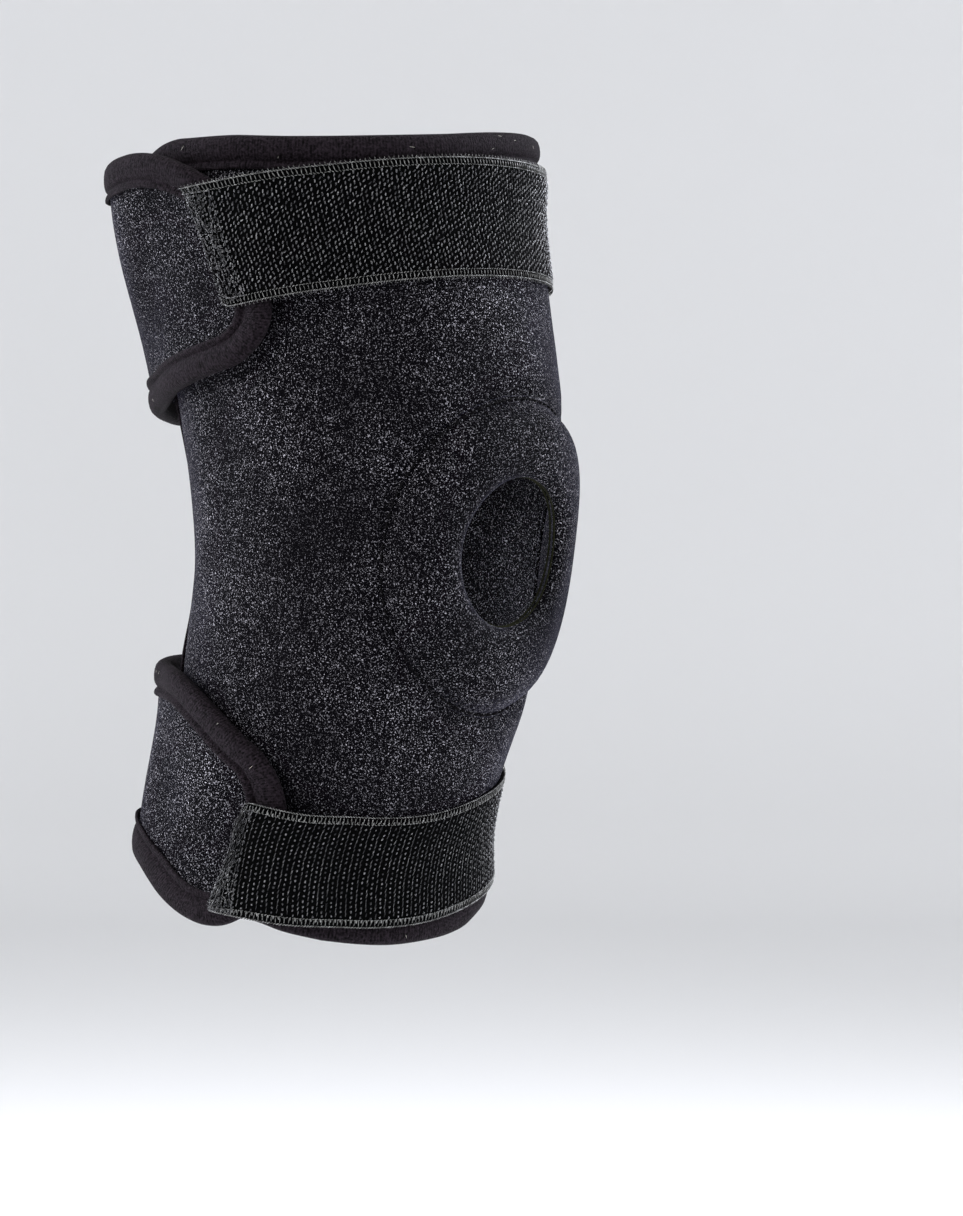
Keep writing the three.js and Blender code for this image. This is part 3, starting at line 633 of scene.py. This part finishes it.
class TapeFace:
    """The outer face of a strap, read by the length along it and the share of the way up it."""

    # Rays start this far from the strap's own axis, and stop before they can meet its far side
    RAY_START = 0.2
    RAY_REACH = 0.19
    # Edges are felt for at these steps of height, from a little above the strap's lowest point
    HEIGHT_STEP = 0.001
    # Angles round the axis from the front: from before the sewn end, past the inner side, to behind
    ANGLES = np.radians(np.arange(-110, 240, 2.0))
    # A strap counts as whole where it has this share of its width. Its ends are sought this far beyond.
    WHOLE_SHARE = 0.9
    END_SEARCH = 0.3
    # The face stops this many radians short of the strap's ends
    END_MARGIN = 0.004
    # The face is read at this many steps along, and at these shares of the width
    STEPS = np.linspace(0, 1, 361)
    SHARES = np.linspace(0.012, 0.988, 15)

    def __init__(self, node):
        smooth = copy_of(node, f"{node}_as_built")
        quads_of(smooth)
        smooth_over(smooth, 2)
        self.tree = BVHTree.FromPolygons([v.co for v in smooth.data.vertices],
                                         [list(p.vertices) for p in smooth.data.polygons])
        bpy.data.objects.remove(smooth)
        self.low, self.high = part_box(node)
        spans = [(angle, self.span(angle)) for angle in self.ANGLES]
        self.width = np.median([s[1] - s[0] for _, s in spans if s])
        whole = [(angle, s) for angle, s in spans if s and s[1] - s[0] > self.WHOLE_SHARE * self.width]
        self.known = np.array([angle for angle, _ in whole])
        self.bottoms = np.array([s[0] for _, s in whole])
        self.tops = np.array([s[1] for _, s in whole])
        starts = self.end_line(self.known[0], -self.END_SEARCH, 2) + self.END_MARGIN
        ends = self.end_line(self.known[-1], self.END_SEARCH, 1) - self.END_MARGIN
        self.grid = self.filled_grid(starts, ends)
        middle_line = self.grid[:, len(self.SHARES) // 2]
        steps = np.linalg.norm(np.diff(middle_line, axis=0), axis=1)
        self.lengths = np.concatenate([[0], np.cumsum(steps)])
        self.length = self.lengths[-1]

    def touch(self, angle, height):
        """Where a ray to the axis meets the strap, or nothing where it misses it."""
        middle = (self.low + self.high) / 2
        way = Vector((math.sin(angle), -math.cos(angle), 0))
        start = Vector((middle.x, middle.y, height)) + way * self.RAY_START
        return self.tree.ray_cast(start, -way, self.RAY_REACH)[0]

    def span(self, angle):
        """The strap's lower and upper edge at an angle, or nothing where it isn't."""
        heights = np.arange(self.low.z + 0.0004, self.high.z, self.HEIGHT_STEP)
        heights = [h for h in heights if self.touch(angle, h)]
        if not heights:
            return None
        ends = []
        for inside, onward in ((heights[0], -self.HEIGHT_STEP), (heights[-1], self.HEIGHT_STEP)):
            outside = inside + onward
            for _ in range(5):
                half = (inside + outside) / 2
                inside, outside = (half, outside) if self.touch(angle, half) else (inside, half)
            ends.append(inside)
        return ends

    def height_at(self, angle, share):
        """The height of a share of the width, carried on in a straight line before the first known angle."""
        def edge(heights):
            first = (heights[1] - heights[0]) / (self.known[1] - self.known[0])
            return np.interp(angle, self.known, heights) + min(angle - self.known[0], 0) * first

        return edge(self.bottoms) * (1 - share) + edge(self.tops) * share

    def end_line(self, known, search, degree):
        """The angle at which the strap ends, at each share of its width, as a smooth curve."""
        found = []
        for share in self.SHARES:
            inside, outside = known, known + search
            for _ in range(12):
                half = (inside + outside) / 2
                met = self.touch(half, self.height_at(half, share))
                inside, outside = (half, outside) if met else (inside, half)
            found.append(inside)
        # The strap's rounded corners would mislead the fit
        inner = slice(2, -2)
        fit = np.polyfit(self.SHARES[inner], np.array(found)[inner], degree)
        return np.polyval(fit, self.SHARES)

    def filled_grid(self, starts, ends):
        """The face's places by step and share, with those that no ray met carried on from their row."""
        steps = self.STEPS
        grid = np.full((len(steps), len(self.SHARES), 3), np.nan)
        for j, share in enumerate(self.SHARES):
            for i, along in enumerate(steps):
                angle = starts[j] + (ends[j] - starts[j]) * along
                spot = self.touch(angle, self.height_at(angle, share))
                if spot:
                    grid[i, j] = spot
            hit = np.flatnonzero(~np.isnan(grid[:, j, 0]))
            for axis in range(3):
                grid[:, j, axis] = np.interp(steps, steps[hit], grid[hit, j, axis])
            first, last = hit[0], hit[-1]
            onward = (grid[first + 4, j] - grid[first, j]) / 4
            grid[:first, j] = grid[first, j] - onward * (first - np.arange(first))[:, None]
            onward = (grid[last, j] - grid[last - 4, j]) / 4
            beyond = np.arange(1, len(steps) - last)
            grid[last + 1:, j] = grid[last, j] + onward * beyond[:, None]
        return grid

    def at(self, length, share):
        """The place at each length and share, with its directions along, up and out."""
        # The least step back from the last row keeps every place inside a cell of the grid
        count, across = len(self.lengths), len(self.SHARES)
        i = np.clip(np.interp(length, self.lengths, np.arange(count)), 0, count - 1.001)
        j = np.clip(np.interp(share, self.SHARES, np.arange(across)), 0, across - 1.001)
        i0, j0 = i.astype(int), j.astype(int)
        s, t = (i - i0)[..., None], (j - j0)[..., None]
        g = self.grid
        a, b, c, d = g[i0, j0], g[i0 + 1, j0], g[i0, j0 + 1], g[i0 + 1, j0 + 1]
        place = a * (1 - s) * (1 - t) + b * s * (1 - t) + c * (1 - s) * t + d * s * t
        k0, k1 = np.clip(i0 - 2, 0, None), np.clip(i0 + 3, None, count - 1)
        m0, m1 = np.clip(j0 - 1, 0, None), np.clip(j0 + 2, None, across - 1)
        along = unit(g[k1, j0] - g[k0, j0])
        up = unit(g[i0, m1] - g[i0, m0])
        out = unit(np.cross(along, up))
        return place, along, up, out


def lay_tape(node, face):
    """The tape itself, with thickness, just under the loops."""
    count = round(face.length / TAPE_STEP)
    shares = np.linspace(0, 1, 17)
    lengths, ups = np.meshgrid(np.linspace(0, face.length, count), shares, indexing="ij")
    place, _, _, out = face.at(lengths, ups)
    front = place - out * LOOP_SINK
    mesh = bpy.data.meshes.new(f"{node}_tape")
    i, j = np.meshgrid(np.arange(count - 1), np.arange(len(shares) - 1), indexing="ij")
    corner = i * len(shares) + j
    faces = np.stack([corner, corner + len(shares), corner + len(shares) + 1, corner + 1], -1)
    mesh.from_pydata(front.reshape(-1, 3).tolist(), [], faces.reshape(-1, 4).tolist())
    tape = bpy.data.objects.new(f"{node}_tape", mesh)
    bpy.context.scene.collection.objects.link(tape)
    bpy.ops.object.select_all(action="DESELECT")
    bpy.context.view_layer.objects.active = tape
    tape.select_set(True)
    wall = tape.modifiers.new("wall", "SOLIDIFY")
    wall.thickness = TAPE_THICKNESS
    wall.offset = -1
    bpy.ops.object.modifier_apply(modifier=wall.name)
    bpy.ops.object.shade_smooth()
    return tape


def turned(along, up, tilt):
    """Directions along and up, turned in the face by a tilt in radians."""
    c, s = np.cos(tilt)[:, None], np.sin(tilt)[:, None]
    return along * c + up * s, up * c - along * s


def lay_loops(node, face, chance, straight):
    """Columns of loops across the tape; straight columns alternate with finer twisted ones."""
    pitch = LOOP_PITCH if straight else 0.9 * LOOP_PITCH
    columns = int((face.length - 0.001) / pitch)
    looped_width = face.width - 2 * SELVEDGE_WIDTH
    rows = int(looped_width / (0.9 * LOOP_PITCH))
    i, j = np.meshgrid(np.arange(columns), np.arange(rows), indexing="ij")
    i, j = i.reshape(-1), j.reshape(-1)
    loose = 0.05 if straight else 0.11
    length = 0.0006 + (i + 0.5 + loose * chance.normal(size=i.size)) * pitch
    up_the_column = (j + 0.25 + 0.5 * (i % 2) + 0.09 * chance.normal(size=i.size)) * looped_width / rows
    share = (SELVEDGE_WIDTH + up_the_column) / face.width
    place, along, up, out = face.at(length, np.clip(share, 0.04, 0.96))
    fine = (i % 2 == 1) & straight
    plain = 0.25 if straight else 0.5
    sway = chance.normal(size=i.size) * np.where(fine, 0.08, 0.22)
    tilt = np.pi / 2 - np.where(fine, 0.22, plain) + sway
    long_way, wide_way = turned(along, up, tilt)
    sizes = np.stack([
        np.where(fine, 0.00092, 0.00052 if straight else 0.00078) * chance.uniform(0.8, 1.15, i.size),
        np.where(fine, 0.00018, 0.00036 if straight else 0.00030) * chance.uniform(0.75, 1.25, i.size),
        np.where(fine, 0.00024, 0.00034) * chance.uniform(0.75, 1.25, i.size),
    ], 1)
    centre = place - out * (LOOP_SINK - 0.5 * sizes[:, 2:3])
    return beads(f"{node}_loops", centre, long_way, wide_way, out, sizes)


def lay_selvedge(node, face, chance, looped):
    """The long edges: a twisted edge cord, upright stitches that bind it, and a finer cord inside them."""
    rows = []

    def row(pitch, inset, tilt, size, lift, spread=0.08):
        """Beads of one size along both edges, an inset in from them and a lift above the tape."""
        count = int(face.length / pitch)
        where = (np.arange(count) + 0.5) * pitch
        for edge in (0, 1):
            share = edge + (1 - 2 * edge) * inset / face.width
            place, along, up, out = face.at(where, np.full(count, share))
            inward = up * (1 - 2 * edge)
            # The face's own places stop half a millimetre in, so beads outside that are moved on out
            short = min(inset - 0.0005, 0)
            angle = tilt * (1 - 2 * edge) + spread * chance.normal(size=count)
            long_way, wide_way = turned(along, up, angle)
            sizes = np.tile(size, (count, 1)) * chance.uniform(0.85, 1.15, (count, 1))
            rows.append((place + inward * short - out * (LOOP_SINK - lift), long_way, wide_way, out, sizes))

    row(0.0010, 0.0003, 0.42, (0.00066, 0.00019, 0.00022), 0.0003)
    row(0.00145, 0.0015, math.pi / 2 - 0.15, (0.0010, 0.00017, 0.00022), 0.00015, 0.12)
    row(0.00115, 0.0026, 0.4, (0.00056, 0.00016, 0.0002), 0.0002, 0.15)
    if looped:
        row(0.0018, 0.0022, math.pi / 2, (0.0006, 0.00034, 0.0003), 0.0003)
    else:
        row(0.0016, -0.0003, math.pi / 2, (0.0005, 0.00011, 0.00013), 0.0002, 0.3)
    return beads(f"{node}_selvedge", *(np.concatenate(part) for part in zip(*rows)))


def lay_fuzz(node, face, chance):
    """Loops crushed and drawn into short loose fibres where the strap's end is stitched down."""
    count = 420
    length = STITCHED_LENGTH * chance.beta(1.2, 1.6, count) + 0.0004
    place, along, up, out = face.at(length, chance.uniform(0.02, 0.98, count))
    long_way, wide_way = turned(along, up, chance.uniform(0, math.pi, count))
    half_length = chance.uniform(0.00035, 0.0008, count)
    sizes = np.stack([half_length, np.full(count, 0.00012), np.full(count, 0.00013)], 1)
    lift = chance.uniform(-0.0002, 0.0003, (count, 1))
    return beads(f"{node}_end_fuzz", place + out * lift, long_way, wide_way, out, sizes)


def lay_stitches(node, face, chance):
    """The box of stitches that fastens the strap's end to its wing: its four sides and a cross between."""
    near, far = 0.0016, STITCHED_LENGTH
    # Each run of stitches from its first (length, share) to its last
    runs = [((far, 0.04), (far, 0.96)), ((near, 0.05), (near, 0.95)), ((near, 0.07), (far, 0.07)),
            ((near, 0.93), (far, 0.93)), ((0.002, 0.08), (far, 0.92)), ((0.002, 0.92), (far, 0.08))]
    lengths, shares, tilts = [], [], []
    for (l0, s0), (l1, s1) in runs:
        reach = math.hypot(l1 - l0, (s1 - s0) * face.width)
        count = max(2, round(reach / STITCH_PITCH))
        for k in range(count):
            t = (k + 0.5) / count
            lengths.append(l0 + (l1 - l0) * t)
            shares.append(s0 + (s1 - s0) * t)
            tilts.append(math.atan2((s1 - s0) * face.width, l1 - l0))
    lengths, shares, tilts = np.array(lengths), np.array(shares), np.array(tilts)
    place, along, up, out = face.at(lengths, shares)
    long_way, wide_way = turned(along, up, tilts + 0.1 * chance.normal(size=len(tilts)))
    sizes = np.tile([0.00105, 0.00028, 0.00028], (len(tilts), 1))
    return beads(f"{node}_stitches", place - out * 0.0001, long_way, wide_way, out, sizes)


ground_finish = matt_knit("strap_ground")
loop_finish = slick_yarn("strap_loops", LOOP_GREY)
cord_finish = slick_yarn("strap_selvedge", CORD_GREY)
for node, width, straight in (("upper_strap", 0.040, False), ("lower_strap", 0.0375, True)):
    chance = np.random.default_rng(7)
    face = TapeFace(node)
    tape = lay_tape(node, face)
    fasten(tape, "strap_loop", ground_finish, node)
    fasten(lay_loops(node, face, chance, straight), "strap_loop", loop_finish)
    fasten(lay_selvedge(node, face, chance, straight), "strap_loop", cord_finish)
    fasten(lay_fuzz(node, face, chance), "strap_loop", loop_finish)
    fasten(lay_stitches(node, face, chance), "strap_loop", loop_finish)

# The hook tabs. Each is a rectangle of matt black hook tape, sewn under the strap's hidden end, where it
# grips the pile of the wrap.
hook_finish = matt_knit("hook_tape")
for node in ("upper_hook_tab", "lower_hook_tab"):
    tab = copy_of(node, f"{node}_tape")
    smooth_over(tab, 1)
    fasten(tab, "hook_tape", hook_finish, node)
